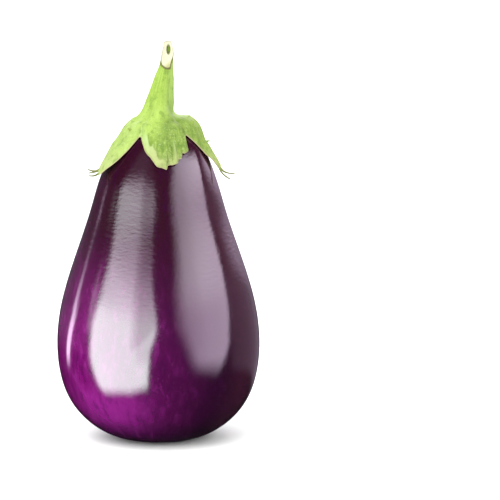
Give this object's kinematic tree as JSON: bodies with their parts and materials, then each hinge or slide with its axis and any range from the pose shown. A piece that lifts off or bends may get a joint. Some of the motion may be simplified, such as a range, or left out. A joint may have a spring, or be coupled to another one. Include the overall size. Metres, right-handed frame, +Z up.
{
  "type": "eggplant",
  "caption": "Glossy pear-shaped eggplant standing on its blunt end, with a lobed green calyx and a tapering stem cut on a slant.",
  "frame": {"origin": "middle of the small flat spot that the fruit stands on", "axes": "+Z up along the fruit from the flat spot to the stem, -Y out through the side that the stem's cut faces, +X to the right seen from that side"},
  "size_m": [0.1016, 0.1021, 0.1989],
  "materials": {
    "skin": "smooth glossy dark purple skin, more magenta towards the blunt end",
    "calyx": "matte yellowish green leaf and stem with pale edges, the cut wood cream"
  },
  "bodies": {
    "root": {"fruit": "skin", "calyx_stem": "calyx"}
  },
  "joints": []
}
